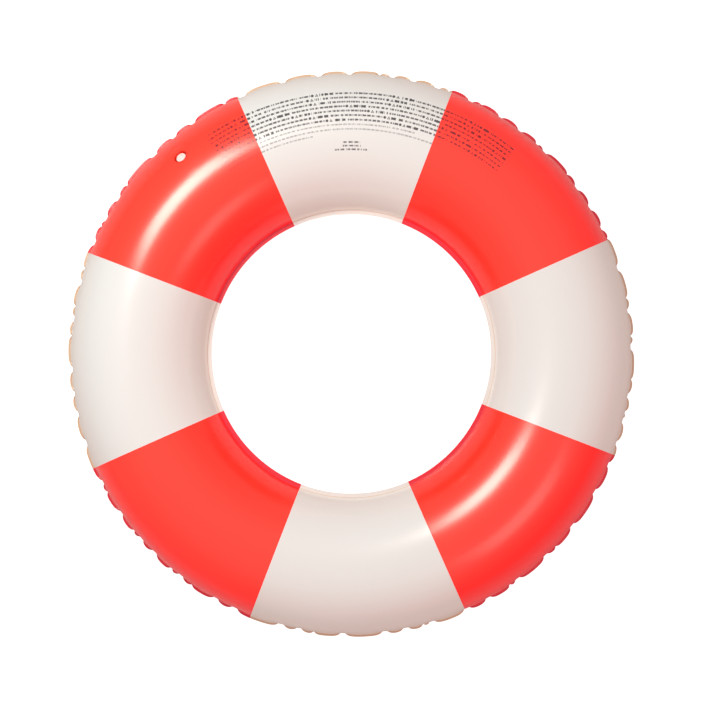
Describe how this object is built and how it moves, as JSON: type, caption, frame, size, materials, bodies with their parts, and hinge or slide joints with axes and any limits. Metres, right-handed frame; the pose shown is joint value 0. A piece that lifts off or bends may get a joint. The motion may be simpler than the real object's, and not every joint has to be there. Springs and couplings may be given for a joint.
{
  "type": "inflatable swim ring",
  "caption": "Blown-up film swim ring in red and white sectors like a ring lifebuoy, with puckered outer weld and a push-in air valve with plug.",
  "frame": {"origin": "centre of the ring, in the plane of the weld between front and back film", "axes": "+Z along the ring's axis, out of the front with the valve; +Y to the top of the ring; +X to the right seen from the front"},
  "size_m": [0.703, 0.703, 0.15],
  "materials": {
    "red_film": "gloss vinyl film",
    "white_film": "gloss vinyl film",
    "valve_vinyl": "clear soft vinyl, slightly cloudy"
  },
  "bodies": {
    "ring": {"front_white_right": "white_film", "front_red_top_right": "red_film", "front_white_top": "white_film", "front_red_top_left": "red_film", "front_white_left": "white_film", "front_red_bottom_left": "red_film", "front_white_bottom": "white_film", "front_red_bottom_right": "red_film", "back_white_right": "white_film", "back_red_top_right": "red_film", "back_white_top": "white_film", "back_red_top_left": "red_film", "back_white_left": "white_film", "back_red_bottom_left": "red_film", "back_white_bottom": "white_film", "back_red_bottom_right": "red_film", "valve_flange": "valve_vinyl", "valve_sleeve": "valve_vinyl"},
    "stem": {"valve_stem": "valve_vinyl", "plug_strap": "valve_vinyl"},
    "plug": {"valve_plug": "valve_vinyl"},
    "flap": {"non_return_flap": "valve_vinyl"}
  },
  "joints": [
    {"name": "valve_slide", "type": "slide", "parent": "ring", "child": "stem", "axis": [-0.3999, 0.4859, 0.7771], "range_m": [0, 0.017], "deforming": ["valve_sleeve"]},
    {"name": "plug_slide", "type": "slide", "parent": "stem", "child": "plug", "axis": [-0.3999, 0.4859, 0.7771], "range_m": [0, 0.0095], "deforming": ["plug_strap"]},
    {"name": "flap_hinge", "type": "hinge", "parent": "stem", "child": "flap", "pos_m": [-0.19252, 0.23396, 0.04652], "axis": [-0.7722, -0.6354, 0], "range_deg": [0, 50], "stiffness_Nm_per_rad": 0.0005}
  ]
}
